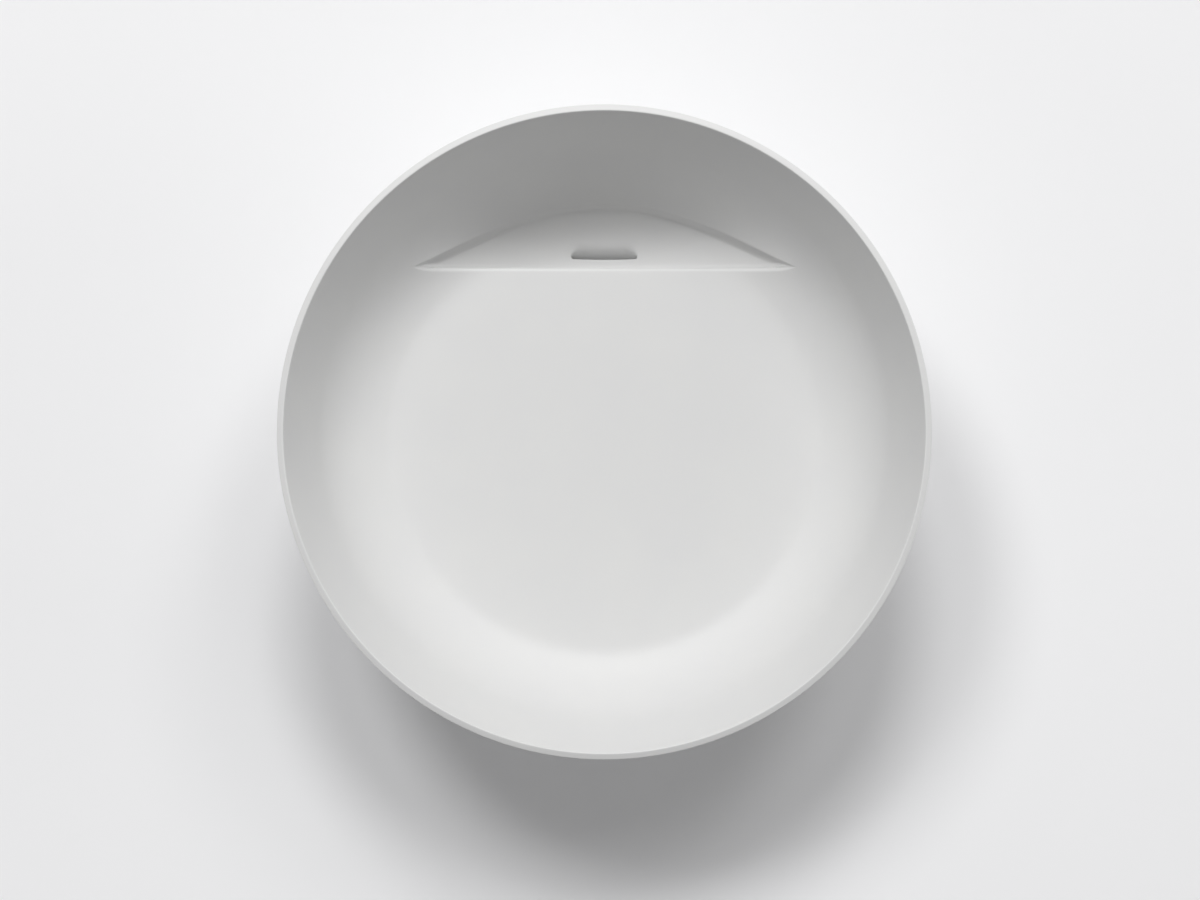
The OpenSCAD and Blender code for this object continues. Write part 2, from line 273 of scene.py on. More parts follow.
print("3 by 4 points make %d cells" % len(grid_quads(np.arange(12).reshape(3, 4))))

# %% [markdown]
# ## The lip
#
# The lip is the one crisp line of the object. On the real casting it is a small roll, about as round
# as a drinking straw, above an upright step, and the step's foot is round as well. Towards its pointed
# ends the step gets so low that the roll and the foot meet in one soft curve, which is why the lip's
# bright line feathers out there: where the step is under 2 mm high it is all curve, above 8 mm all
# step. The profile is worked out for each place along the lip, so all of it is one grid: the place
# along the lip is one parameter, the way down the step is the other.

# %% Profile of the lip
LIP_ROLL_R, LIP_FOOT_R = 2.3, 3.0
SOFT_STEP_H, FULL_STEP_H = 2.0, 8.0
N_ROLL, N_FACE, N_FOOT = 9, 4, 7

lip_line_y = np.full_like(lip_x, LIP_Y)
lip_h = scoop_depth(lip_x, lip_line_y)
lip_share = np.sqrt(np.clip(lip_h / (LIP_ROLL_R + LIP_FOOT_R), 0.0, 1.0)) + TINY
last_mm_rise = bowl_height(lip_x, lip_line_y) - bowl_height(lip_x, lip_line_y - 1.0)
lip_tilt = np.arctan(last_mm_rise)
roll_r = LIP_ROLL_R * lip_share
foot_r = LIP_FOOT_R * lip_share
lip_front_y = LIP_Y - roll_r * (1.0 + np.sin(lip_tilt))
lip_back_y = LIP_Y + foot_r


def step_profile():
    """Roll from the floor to upright, straight face, then a quarter circle to the scoop's bottom."""
    top_z = bowl_height(lip_x, lip_front_y)
    low_z = back_height(lip_x, lip_back_y)
    start = math.pi / 2.0 + lip_tilt
    a = start[:, None] * np.linspace(1.0, 0.0, N_ROLL)[None, :]
    roll_y = lip_front_y[:, None] + roll_r[:, None] * (np.cos(a) - np.cos(start)[:, None])
    roll_z = top_z[:, None] + roll_r[:, None] * (np.sin(a) - np.sin(start)[:, None])
    b = np.linspace(0.0, math.pi / 2.0, N_FOOT)[None, :]
    foot_y = LIP_Y + foot_r[:, None] * (1.0 - np.cos(b))
    foot_z = low_z[:, None] + foot_r[:, None] * (1.0 - np.sin(b))
    t = np.linspace(0.0, 1.0, N_FACE + 2)[1:-1][None, :]
    face_y = np.full((len(lip_x), N_FACE), LIP_Y)
    face_z = roll_z[:, -1:] * (1.0 - t) + foot_z[:, :1] * t
    return np.concatenate([roll_y, face_y, foot_y], 1), np.concatenate([roll_z, face_z, foot_z], 1)


def smooth_step(t):
    """Three t squared less two t cubed: from 0 to 1, and level at both ends."""
    return t * t * (3.0 - 2.0 * t)


def soft_profile(count):
    """One S-shaped curve from the floor to the scoop, for the ends where the step is low."""
    t = np.linspace(0.0, 1.0, count)[None, :]
    y = lip_front_y[:, None] * (1.0 - t) + lip_back_y[:, None] * t
    s = smooth_step(t)
    x = np.repeat(lip_x[:, None], count, 1)
    return y, bowl_height(x, y) * (1.0 - s) + back_height(x, y) * s


step_y, step_z = step_profile()
soft_y, soft_z = soft_profile(step_y.shape[1])
m = smooth_step(np.clip((lip_h - SOFT_STEP_H) / (FULL_STEP_H - SOFT_STEP_H), 0.0, 1.0))[:, None]
lip_strip = np.stack([np.repeat(lip_x[:, None], step_y.shape[1], 1),
                      step_y * m + soft_y * (1.0 - m), step_z * m + soft_z * (1.0 - m)], -1)
print("lip strip: %d quads" % add_patch(lip_strip))

# %% [markdown]
# ## The front patch
#
# The floor and the lower wall in front of the lip fill a shape with four sides: the lip, the right
# arc, the front arc and the left arc. A Coons patch blends between opposite sides and takes away
# what the corners would count twice. The grid then follows the lip at one end and the circle at the
# other, without a pole in the middle of the floor where light would pinch.

# %% Front patch
def coons(top, bottom, left, right):
    """Blend of two pairs of opposite sides of a plan, less the blend of their four corners."""
    u = np.linspace(0.0, 1.0, top.shape[0])[:, None, None]
    v = np.linspace(0.0, 1.0, left.shape[0])[None, :, None]
    corners = ((1 - u) * (1 - v) * top[0] + u * (1 - v) * top[-1]
               + (1 - u) * v * bottom[0] + u * v * bottom[-1])
    return (1 - v) * top[:, None] + v * bottom[:, None] + (1 - u) * left[None] + u * right[None] - corners


def on_circle(angles, radius):
    """Plan points on a circle about the middle."""
    return radius * np.stack([np.cos(angles), np.sin(angles)], -1)


front_plan = coons(np.stack([lip_x, lip_front_y], -1), on_circle(front_angles[::-1], DISC_R),
                   on_circle(left_angles[::-1], DISC_R), on_circle(right_angles, DISC_R))
print("front patch: %d quads" % add_patch(raised(front_plan[..., 0], front_plan[..., 1], bowl_height)))

# %% [markdown]
# ## The back patch and the slot
#
# Behind the lip, columns run from the step's foot to the circle. A block of that grid is left out
# round the slot, and a frame of cells leads from the block's straight border to the slot's outline.
# Some rows follow the brink, so that its crisp line isn't cut by the grid. The slot leans forward
# as it goes down and starts with a ramp at the back, so from above one sees the ramp and no dark hole.
# Its front corners are tight and its back corners wide. The mouth is rolled over, softly at the back
# and more tightly in front, as a sander leaves it.

# %% Back patch with a block left out
N_FLOOR, N_FLANK, N_BEHIND = 36, 14, 22
N_BACK = N_FLOOR + N_FLANK + N_BEHIND
BLOCK_X, BLOCK_ROWS = 30.0, (2, 25)
ROW_LEAST, ROW_SOFT = 0.3, 3.0
far_y = DISC_R * np.sin(lip_angles)


def brink_row(beyond, most):
    """A row that runs beyond the brink's line, between the lip's foot and a share of the room behind it."""
    behind_foot = LIP_Y + brink_line(lip_x)[0] + beyond - lip_back_y
    kept_behind = soft_max(behind_foot, ROW_LEAST * most, ROW_SOFT)
    return lip_back_y + np.minimum(kept_behind, most * (far_y - lip_back_y))


def rows(start, end, count, bend):
    """Rows between two lines, closer together near the first one by the share given in bend."""
    u = np.linspace(0.0, 1.0, count + 1)[:-1]
    u = (1.0 - bend) * u + bend * u * u
    return start[:, None] * (1.0 - u) + end[:, None] * u


foot_y, brink_y = brink_row(beyond=-8.0, most=0.6), brink_row(beyond=1.0, most=0.85)
back_y = np.concatenate([rows(lip_back_y, foot_y, N_FLOOR, bend=0.5),
                         rows(foot_y, brink_y, N_FLANK, bend=0.0),
                         rows(brink_y, far_y, N_BEHIND, bend=0.4), far_y[:, None]], 1)
back_x = np.repeat(lip_x[:, None], N_BACK + 1, 1)
block_cols = (int(np.argmin(np.abs(lip_x + BLOCK_X))), int(np.argmin(np.abs(lip_x - BLOCK_X))))
outside_block = np.ones((N_LIP, N_BACK), bool)
outside_block[block_cols[0]:block_cols[1], BLOCK_ROWS[0]:BLOCK_ROWS[1]] = False
print("back patch: %d quads" % add_patch(raised(back_x, back_y, back_height), outside_block))

# %% Sizes of the slot
SLOT_W, SLOT_Y = 42.0, 110.2
SLOT_D = 8.0
SLOT_SLANT = math.radians(35.0)
SLOT_FRONT_R, SLOT_SIDE_A = 1.3, math.radians(30.0)
SLOT_END_Z = 30.4
MOUTH_FRONT_R, MOUTH_BACK_R = 1.0, 3.0
RAMP_DEPTH, RAMP_FORWARD = 6.5, 8.4
N_CORNER = 60
WALL_STEPS, WALL_SLOPE = 40, 0.9

slot_rise = SCOOP_FLOOR_R - math.sqrt(SCOOP_FLOOR_R ** 2 - max(SLOT_Y + SLOT_D - SCOOP_FLAT_R, 0.0) ** 2)
slot_across = SLOT_D * math.cos(SLOT_SLANT) - slot_rise * math.sin(SLOT_SLANT)
slot_back_r = (slot_across - SLOT_FRONT_R * (1 + math.sin(SLOT_SIDE_A))) / (1 - math.sin(SLOT_SIDE_A))


def slot_outline(count):
    """Outline square to the walls: straight front, tight and wide corners on each side, straight back."""
    front = np.array([SLOT_W / 2 - SLOT_FRONT_R, SLOT_FRONT_R])
    turn = np.array([math.cos(SLOT_SIDE_A), math.sin(SLOT_SIDE_A)])
    back = front + (SLOT_FRONT_R - slot_back_r) * turn
    a = np.linspace(-math.pi / 2, SLOT_SIDE_A, count)
    b = np.linspace(SLOT_SIDE_A, math.pi / 2, count)
    right = np.concatenate([front + SLOT_FRONT_R * np.stack([np.cos(a), np.sin(a)], -1),
                            (back + slot_back_r * np.stack([np.cos(b), np.sin(b)], -1))[1:]])
    left = right[::-1] * np.array([-1.0, 1.0])
    loop = np.concatenate([right, left, right[:1]])
    step = np.linalg.norm(np.diff(loop, axis=0), axis=1)
    along = np.concatenate([[0.0], np.cumsum(step)])
    s = np.linspace(0.0, along[-1], 20 * count)
    return np.stack([np.interp(s, along, loop[:, 0]), np.interp(s, along, loop[:, 1])], -1)


def slot_point(across, up):
    """A point in the slot: across is its place in the outline, up is the way along the leaning walls."""
    c, s = math.cos(SLOT_SLANT), math.sin(SLOT_SLANT)
    return np.stack([across[..., 0], SLOT_Y + across[..., 1] * c + up * s,
                     TROUGH_Z - across[..., 1] * s + up * c], -1)


def on_surface(across):
    """How far up each wall line meets the scoop: each step goes by the height still left over a slope."""
    up = np.zeros(len(across))
    for _ in range(WALL_STEPS):
        p = slot_point(across, up)
        up -= (p[:, 2] - back_height(p[:, 0], p[:, 1])) / WALL_SLOPE
    return up


outline = slot_outline(N_CORNER)
print("slot %.1f mm wide, %.2f mm between its walls, back corners r %.1f mm"
      % (SLOT_W, slot_across, slot_back_r))

# %% Frame of cells round the slot
N_FRAME, N_MOUTH, N_RAMP = 8, 7, 6

c0, c1 = block_cols
r0, r1 = BLOCK_ROWS
block = np.stack([back_x, back_y], -1)
border = np.concatenate([block[c0:c1, r0], block[c1, r0:r1], block[c0 + 1:c1 + 1, r1][::-1],
                         block[c0, r0 + 1:r1 + 1][::-1]])
middle = np.array([0.0, SLOT_Y + SLOT_D / 2])


def direction(points, half_w, half_d):
    """Angle of each point about the slot's middle, after its width and depth are made equal."""
    q = (points - middle) / np.array([half_w, half_d])
    return np.arctan2(q[..., 1], q[..., 0])


dense_up = on_surface(outline)
dense_plan = slot_point(outline, dense_up)[:, :2]
order = np.argsort(direction(dense_plan, SLOT_W / 2, SLOT_D / 2))
dense_angle = direction(dense_plan, SLOT_W / 2, SLOT_D / 2)[order]
half_d = 0.5 * (block[c0, r1, 1] - block[c0, r0, 1])
wanted = direction(border, BLOCK_X, half_d)
across = np.stack([np.interp(wanted, dense_angle, outline[order, k], period=2 * math.pi)
                   for k in (0, 1)], -1)
up = on_surface(across)
corner = slot_point(across, up)

ahead = np.roll(corner, -1, 0)[:, :2] - np.roll(corner, 1, 0)[:, :2]
out = np.stack([ahead[:, 1], -ahead[:, 0]], -1) / np.linalg.norm(ahead, axis=1)[:, None]
back_share = smooth_step(np.clip(across[:, 1] / slot_across, 0.0, 1.0))
mouth_r = MOUTH_FRONT_R + (MOUTH_BACK_R - MOUTH_FRONT_R) * back_share
brink_plan = corner[:, :2] + out * mouth_r[:, None]
brink = raised(brink_plan[:, 0], brink_plan[:, 1], back_height)
forward = (1.0 - back_share) * RAMP_DEPTH * math.tan(SLOT_SLANT) + back_share * RAMP_FORWARD
ramp = np.stack([0.0 * forward, -forward, 0.0 * forward - RAMP_DEPTH], -1)
neck = corner + ramp * (mouth_r / np.linalg.norm(ramp, axis=1))[:, None]
floor_up = (SLOT_END_Z - TROUGH_Z + across[:, 1] * math.sin(SLOT_SLANT)) / math.cos(SLOT_SLANT)
slot_end = slot_point(across, floor_up)

t = np.linspace(0.0, 1.0, N_FRAME + 1)[:, None, None]
plan = border[None] * (1.0 - t) + brink_plan[None] * t
frame_part = raised(plan[..., 0], plan[..., 1], back_height)
t = np.linspace(0.0, 1.0, N_MOUTH + 1)[1:, None, None]
roll_part = (1 - t) ** 2 * brink[None] + 2 * t * (1 - t) * corner[None] + t ** 2 * neck[None]
t = np.linspace(0.0, 1.0, N_RAMP + 1)[1:, None, None]
ramp_part = neck[None] * (1 - t) + (corner + ramp)[None] * t
wall_part = (corner + ramp)[None] * (1 - t) + slot_end[None] * t
slot_rings = np.concatenate([frame_part, roll_part, ramp_part, wall_part])
slot_rings = np.concatenate([slot_rings, slot_rings[:, :1]], 1)
print("slot frame, mouth and walls: %d quads" % add_patch(slot_rings))

# %% [markdown]
# ## Wall, rim and outside
#
# From the working circle outwards everything is round, apart from the scoop's faint upper edges,
# which the height formula brings along. The rim is thin: a tight inner edge, then a flat that slants
# outwards by 21 degrees and a tight outer edge. Each side of the rim has one even brightness for that
# reason, and ends sharply. The outside is one long arc that draws in to the foot, so from above
# nothing of it shows. The rings' points lie at the same angles as the patches' borders.

# %% Wall from the circle to the rim's inner edge
N_WALL = 24

edge_c = RIM_IN_R + EDGE_R * (1.0 - math.sin(WALL_LEAN)) / math.cos(WALL_LEAN)
edge_start_r = edge_c - EDGE_R * math.cos(WALL_LEAN)
closed_angles = np.concatenate([round_angles, round_angles[:1]])
wall_rings = np.linspace(DISC_R, edge_start_r, N_WALL + 1)[:, None]
wall_x = wall_rings * np.cos(closed_angles)[None, :]
wall_y = wall_rings * np.sin(closed_angles)[None, :]
behind = wall_y > LIP_Y - TINY
wall_z = np.where(behind, back_height(wall_x, wall_y), bowl_height(wall_x, wall_y))
wall_z[-1] = RIM_TOP - EDGE_R + EDGE_R * math.sin(WALL_LEAN)
print("wall: %d quads" % add_patch(np.stack([wall_x, wall_y, wall_z], -1)))

# %% Profile of rim and outside
FOOT_R, SEAL_T = 132.0, 3.0
BODY_BULGE = 7.5
FOOT_EDGE_R = 0.8
N_EDGE, N_FLAT, N_CROWN, N_OUTSIDE, N_FOOT_EDGE = 7, 4, 6, 22, 4

rim_edge_z = RIM_TOP - RIM_DROP
chord = math.hypot(RIM_R - FOOT_R, rim_edge_z - SEAL_T)
body_r = ((chord / 2) ** 2 + BODY_BULGE ** 2) / (2 * BODY_BULGE)
chord_out = np.array([rim_edge_z - SEAL_T, FOOT_R - RIM_R]) / chord
body_c = np.array([RIM_R + FOOT_R, rim_edge_z + SEAL_T]) / 2 - chord_out * (body_r - BODY_BULGE)


def body_at(z, inset):
    """Radius of the outside at a height, on a circle moved in by a thickness."""
    return body_c[0] + np.sqrt((body_r - inset) ** 2 - (z - body_c[1]) ** 2)


def rim_profile():
    """Radius and height from the wall's top over the slanting flat, down the outside, round the foot."""
    slant = math.pi / 2 - RIM_TILT
    a = np.linspace(math.pi - WALL_LEAN, slant, N_EDGE + 1)
    edge = np.stack([edge_c + EDGE_R * np.cos(a), RIM_TOP - EDGE_R + EDGE_R * np.sin(a)], -1)
    outer_start_r = RIM_R - RIM_OUTER_R * (1.0 - math.cos(slant))
    across = np.linspace(edge[-1, 0], outer_start_r, N_FLAT + 1)[1:]
    flat = np.stack([across, edge[-1, 1] - (across - edge[-1, 0]) * math.tan(RIM_TILT)], -1)
    b = np.linspace(slant, 0.0, N_CROWN + 1)[1:]
    crown_z = flat[-1, 1] - RIM_OUTER_R * math.sin(slant)
    crown = np.stack([RIM_R - RIM_OUTER_R + RIM_OUTER_R * np.cos(b), crown_z + RIM_OUTER_R * np.sin(b)], -1)
    z = np.linspace(rim_edge_z, SEAL_T + FOOT_EDGE_R, N_OUTSIDE + 1)
    side = np.stack([body_at(z, 0.0), z], -1)
    c = np.linspace(0.0, math.pi / 2, N_FOOT_EDGE + 1)[1:]
    turn_c = side[-1, 0] - FOOT_EDGE_R
    foot = np.stack([turn_c + FOOT_EDGE_R * np.cos(c), SEAL_T + FOOT_EDGE_R * (1.0 - np.sin(c))], -1)
    return np.concatenate([edge, flat, crown, side, foot])


profile = rim_profile()
turned = np.stack([profile[:, :1] * np.cos(closed_angles), profile[:, :1] * np.sin(closed_angles),
                   np.repeat(profile[:, 1:], len(closed_angles), 1)], -1)
print("rim and outside: %d quads" % add_patch(turned))

# %% [markdown]
# ## The underside
#
# The hollow foot, the pillars, the cup's seat and its screw holes are plain machined forms, and the
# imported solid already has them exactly. A copy of its mesh is merged, the faces that the new surface
# replaces are taken away, and the two open edges that are left, inside the foot and at the slot's
# lower end, are each zipped to the new surface's open edge near it. The result is one closed shell,
# like the casting.

# %% Underside from a copy of the solid
KEEP_BELOW, UPPER_DEPTH = 2.0, 9.5
SKIRT_T = 9.0
SKIRT_ROOM, FACE_ROOM, END_ROOM = 0.3, 0.1, 0.35
FACES_BACK, FACES_UP = 0.99, 0.05
SAME_POINT = 1e-6


def under_faces(centre, normal):
    """True where a face belongs to the underside: inside the skirt, well under the inner surface, not up."""
    x, y, z = centre.T
    inner = np.where(y > LIP_Y, back_height(x, y), bowl_height(x, y))
    inside = np.hypot(x, y) < body_at(np.clip(z, SEAL_T, rim_edge_z), SKIRT_T) + SKIRT_ROOM
    step = ((np.abs(y - LIP_Y) < FACE_ROOM) & (np.abs(normal[:, 1]) > FACES_BACK)
            & (z > TROUGH_Z - FACE_ROOM))
    leaning = (y - SLOT_Y) * math.cos(SLOT_SLANT) - (z - TROUGH_Z) * math.sin(SLOT_SLANT)
    slot = ((leaning > -FACE_ROOM) & (leaning < slot_across + FACE_ROOM)
            & (np.abs(x) < SLOT_W / 2 + FACE_ROOM) & (z > SLOT_END_Z - END_ROOM))
    upper = (normal[:, 2] > FACES_UP) & (z > inner - UPPER_DEPTH)
    return inside & (z < inner - KEEP_BELOW) & ~upper & ~step & ~slot


casting = bmesh.new()
casting.from_mesh(nodes["basin_bowl"].data)
bmesh.ops.remove_doubles(casting, verts=casting.verts, dist=SAME_POINT)
centres = np.array([f.calc_center_median() for f in casting.faces]) * MM_PER_M
normals = np.array([f.normal for f in casting.faces])
keep = under_faces(centres, normals)
casting.faces.ensure_lookup_table()
bmesh.ops.delete(casting, geom=[f for f, k in zip(casting.faces[:], keep) if not k], context="FACES")
print("underside: %d of %d faces kept" % (keep.sum(), len(keep)))

# %% Join the new surface to it
PATCH_GAP, NO_LENGTH = 3e-6, 1e-7

surface = bpy.data.meshes.new("basin_casting")
surface.from_pydata((np.concatenate(patch_points) / MM_PER_M).tolist(), [],
                    np.concatenate(patch_faces).tolist())
top = bmesh.new()
top.from_mesh(surface)
bmesh.ops.remove_doubles(top, verts=top.verts, dist=PATCH_GAP)
bmesh.ops.dissolve_degenerate(top, edges=top.edges, dist=NO_LENGTH)
top.to_mesh(surface)
top.free()
casting.from_mesh(surface)


def open_loops(shell):
    """Groups of joined edges that border only one face."""
    left = {e for e in shell.edges if len(e.link_faces) == 1}
    loops = []
    while left:
        todo, loop = [left.pop()], []
        while todo:
            edge = todo.pop()
            loop.append(edge)
            near = [e for v in edge.verts for e in v.link_edges if e in left]
            left.difference_update(near)
            todo.extend(near)
        loops.append(loop)
    return loops


def zip_loops(shell, first, second):
    """Closes the gap between two loops: going round, each next vertex makes a triangle with the last two."""
    places = [v.co for e in first for v in e.verts]
    middle = sum(places, Vector()) / len(places)

    def angle(v):
        return math.atan2(v.co.y - middle.y, v.co.x - middle.x)

    rings = [sorted({v for e in loop for v in e.verts}, key=angle) for loop in (first, second)]
    steps = sorted((angle(v), side, k) for side, ring in enumerate(rings) for k, v in enumerate(ring))
    here = [ring[-1] for ring in rings]
    for _, side, k in steps:
        shell.faces.new((here[0], here[1], rings[side][k]))
        here[side] = rings[side][k]


loops = sorted(open_loops(casting), key=lambda loop: sum(e.verts[0].co.y for e in loop) / len(loop))
print("open edges:", [len(loop) for loop in loops])
for first, second in (loops[:2], loops[2:]):
    zip_loops(casting, first, second)
bmesh.ops.recalc_face_normals(casting, faces=casting.faces)
print("edges left open: %d" % sum(1 for e in casting.edges if len(e.link_faces) != 2))

# %% [markdown]
# The fine faces of the new surface are shaded smooth, up to an angle where an edge is meant to show.
# The large faces of the underside are flat in reality, so any face over 20 square mm is shaded flat.

# %% Make the casting
LARGEST_SMOOTH = 2e-5
SHARP_ANGLE = math.radians(28.0)

for f in casting.faces:
    f.smooth = f.calc_area() < LARGEST_SMOOTH
casting.to_mesh(surface)
casting.free()
basin_casting = bpy.data.objects.new("basin_casting", surface)
bpy.context.scene.collection.objects.link(basin_casting)
surface.set_sharp_from_angle(angle=SHARP_ANGLE)
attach(basin_casting, "root")
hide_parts("basin_bowl")
surface.calc_loop_triangles()
print("casting: %d triangles" % len(surface.loop_triangles))


# %% [markdown]
# ## Materials
#
# Every material below starts from what the real piece is made of and how its surface was made. Two
# helpers do the wiring: one turns a colour written as on a screen, such as #CFCFCD, into the linear
# numbers that a shader needs, the other adds a node with its settings and links. Patterns read object
# coordinates, which are in metres, so a noise scale of 1000 has cells about a millimetre wide.

# %% Helpers for materials
def linear(code):
    """Linear colour from an sRGB hex code: a straight part near black, a power of 2.4 above it."""
    c = np.array([int(code[k:k + 2], 16) for k in (1, 3, 5)]) / 255.0
    c = np.where(c <= 0.04045, c / 12.92, ((c + 0.055) / 1.055) ** 2.4)
    return (float(c[0]), float(c[1]), float(c[2]), 1.0)


def add_node(tree, kind, settings=(), values=(), links=()):
    """Adds a node. settings are its own choices, values fill sockets, links join other nodes' outputs."""
    node = tree.nodes.new(kind)
    for name, value in dict(settings).items():
        setattr(node, name, value)
    for socket, value in dict(values).items():
        node.inputs[socket].default_value = value
    for socket, output in dict(links).items():
        tree.links.new(output, node.inputs[socket])
    return node


def per_metre(size_mm):
    """Noise scale whose cells are about size_mm wide."""
    return MM_PER_M / size_mm


def start_material(name):
    """A new material, its node tree, its shader and the output with the object coordinates."""
    material = bpy.data.materials.new(name)
    material.use_nodes = True
    tree = material.node_tree
    place = add_node(tree, "ShaderNodeTexCoord").outputs["Object"]
    return material, tree, tree.nodes["Principled BSDF"], place


def finish_in(material, *names):
    """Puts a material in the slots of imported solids, whose own meshes stay as they are."""
    for name in names:
        for slot in nodes[name].material_slots:
            slot.link = "OBJECT"
            slot.material = material
    print("%s: %s" % (material.name, ", ".join(names)))


print("#CFCFCD in linear light:", [round(c, 3) for c in linear("#CFCFCD")[:3]])

# %% [markdown]
# ### Cast solid surface
#
# The bowl is cast solid surface: an acrylic resin full of fine white mineral powder. It is poured,
# then sanded with finer and finer grit until it is even and matt. To the eye that is a soft white
# with hardly any gloss, a grain as fine as flour, and very faint clouds where the powder settled.
# Real grain is about 0.1 mm, too fine to show at this distance, so it is drawn at 0.9 mm and kept
# weak. The sanding shows only as small changes in how matt the surface is.

# %% Cast solid surface, sanded matt
CAST_WHITE, CAST_WHITE_DEEP = "#D9D9D8", "#D6D6D6"
GRAIN_MM, CLOUD_MM, SANDING_MM = 0.9, 45.0, 2.5

cast_white, tree, shader, place = start_material("cast_solid_surface_sanded")
clouds = add_node(tree, "ShaderNodeTexNoise", values={"Scale": per_metre(CLOUD_MM), "Detail": 3.0},
                  links={"Vector": place})
grain = add_node(tree, "ShaderNodeTexNoise", values={"Scale": per_metre(GRAIN_MM), "Detail": 2.0},
                 links={"Vector": place})
sanding = add_node(tree, "ShaderNodeTexNoise", values={"Scale": per_metre(SANDING_MM), "Detail": 4.0},
                   links={"Vector": place})
speckle = add_node(tree, "ShaderNodeMath", {"operation": "MULTIPLY_ADD"}, {1: 0.5},
                   {0: grain.outputs["Fac"], 2: clouds.outputs["Fac"]})
tone = add_node(tree, "ShaderNodeMapRange", values={"From Min": 0.45, "From Max": 1.05},
                links={"Value": speckle.outputs["Value"]})
colour = add_node(tree, "ShaderNodeMix", {"data_type": "RGBA"},
                  {"A": linear(CAST_WHITE_DEEP), "B": linear(CAST_WHITE)},
                  {"Factor": tone.outputs["Result"]})
matt = add_node(tree, "ShaderNodeMapRange", values={"To Min": 0.5, "To Max": 0.62},
                links={"Value": sanding.outputs["Fac"]})
pores = add_node(tree, "ShaderNodeBump", values={"Strength": 0.12, "Distance": 0.00004},
                 links={"Height": grain.outputs["Fac"]})
tree.links.new(colour.outputs["Result"], shader.inputs["Base Color"])
tree.links.new(matt.outputs["Result"], shader.inputs["Roughness"])
tree.links.new(pores.outputs["Normal"], shader.inputs["Normal"])
shader.inputs["IOR"].default_value = 1.5
surface.materials.append(cast_white)
print("casting finished in", cast_white.name)

# %% [markdown]
# ### Cellular rubber
#
# The ring under the foot is closed-cell EPDM, cut from a sheet of rubber foam. Where the knife opened
# the cells it is a field of tiny pits. The grey is painted darker in the pits as painted shade, so
# the walls between them look a little lighter, and faint random clouds vary it as well. The cells are
# about 0.3 mm. They are drawn at 0.8 mm as a cell pattern, whose distance from each cell's middle gives
# both the bumps of the pits and their painted shade.

# %% Closed-cell EPDM, cut
# The darker of the two greys is painted shade, for the middle of each pit.
FOAM_GREY, FOAM_PIT_SHADE = "#77797B", "#55575A"
FOAM_CELL_MM, FOAM_CLOUD_MM = 0.8, 12.0

foam, tree, shader, place = start_material("epdm_foam_closed_cell")
cells = add_node(tree, "ShaderNodeTexVoronoi", values={"Scale": per_metre(FOAM_CELL_MM)},
                 links={"Vector": place})
clouds = add_node(tree, "ShaderNodeTexNoise", values={"Scale": per_metre(FOAM_CLOUD_MM), "Detail": 3.0},
                  links={"Vector": place})
# Painted shade in the pits: darker near each cell's middle, mixed with random clouds of tone.
walls = add_node(tree, "ShaderNodeMath", {"operation": "MULTIPLY_ADD"}, {1: 0.6},
                 {0: cells.outputs["Distance"], 2: clouds.outputs["Fac"]})
grey = add_node(tree, "ShaderNodeMix", {"data_type": "RGBA"},
                {"A": linear(FOAM_PIT_SHADE), "B": linear(FOAM_GREY)},
                {"Factor": walls.outputs["Value"]})
pits = add_node(tree, "ShaderNodeBump", values={"Strength": 0.35, "Distance": 0.0002},
                links={"Height": cells.outputs["Distance"]})
tree.links.new(grey.outputs["Result"], shader.inputs["Base Color"])
tree.links.new(pits.outputs["Normal"], shader.inputs["Normal"])
shader.inputs["Roughness"].default_value = 0.85
finish_in(foam, "foot_seal")

# %% [markdown]
# ### Sheet rubber
#
# The gasket and the outlet's washer are punched from black EPDM sheet. Such sheet is pressed between
# cloths and dusted with talc so that it doesn't stick, so its black is uneven and greyish in clouds,
# and dull where the talc lies. The cloth's weave of about 0.5 mm is left as a faint bump from two wave
# patterns at right angles, drawn at 1 mm. A wave pattern has about three bands in each unit of its
# scale, so its scale is a third of what a noise needs.

# %% EPDM sheet, talced
RUBBER_BLACK, RUBBER_TALC = "#1C1C1D", "#3A3B3C"
WEAVE_MM, TALC_MM = 1.0, 7.0
WAVE_BANDS = 3.0

sheet_rubber, tree, shader, place = start_material("epdm_sheet_talced")
talc = add_node(tree, "ShaderNodeTexNoise", values={"Scale": per_metre(TALC_MM), "Detail": 5.0},
                links={"Vector": place})
black = add_node(tree, "ShaderNodeMix", {"data_type": "RGBA"},
                 {"A": linear(RUBBER_BLACK), "B": linear(RUBBER_TALC)},
                 {"Factor": talc.outputs["Fac"]})
dull = add_node(tree, "ShaderNodeMapRange", values={"To Min": 0.5, "To Max": 0.8},
                links={"Value": talc.outputs["Fac"]})
warp = add_node(tree, "ShaderNodeTexWave", {"bands_direction": "X"},
                {"Scale": per_metre(WEAVE_MM) / WAVE_BANDS}, {"Vector": place})
weft = add_node(tree, "ShaderNodeTexWave", {"bands_direction": "Y"},
                {"Scale": per_metre(WEAVE_MM) / WAVE_BANDS}, {"Vector": place})
weave = add_node(tree, "ShaderNodeMath", {"operation": "ADD"},
                 links={0: warp.outputs["Fac"], 1: weft.outputs["Fac"]})
cloth = add_node(tree, "ShaderNodeBump", values={"Strength": 0.2, "Distance": 0.00005},
                 links={"Height": weave.outputs["Value"]})
tree.links.new(black.outputs["Result"], shader.inputs["Base Color"])
tree.links.new(dull.outputs["Result"], shader.inputs["Roughness"])
tree.links.new(cloth.outputs["Normal"], shader.inputs["Normal"])
finish_in(sheet_rubber, "cup_gasket", "outlet_washer")

# %% [markdown]
# ### Turned brass
#
# The thread ring and all the inserts are turned from brass bar. They stand upright, so the fine
# grooves that the tool leaves run level round them: a noise that is drawn out to 50 mm sideways and
# changes quickly with the height. Real grooves are about 0.1 mm apart and are drawn at 0.5 mm.
# Handling leaves brownish clouds where the metal has dulled.

# %% Brass, turned and handled
BRASS_BRIGHT, BRASS_DULL = "#DABF7E", "#B8965A"
GROOVE_MM, GROOVE_LONG_MM, HANDLED_MM = 0.5, 50.0, 9.0

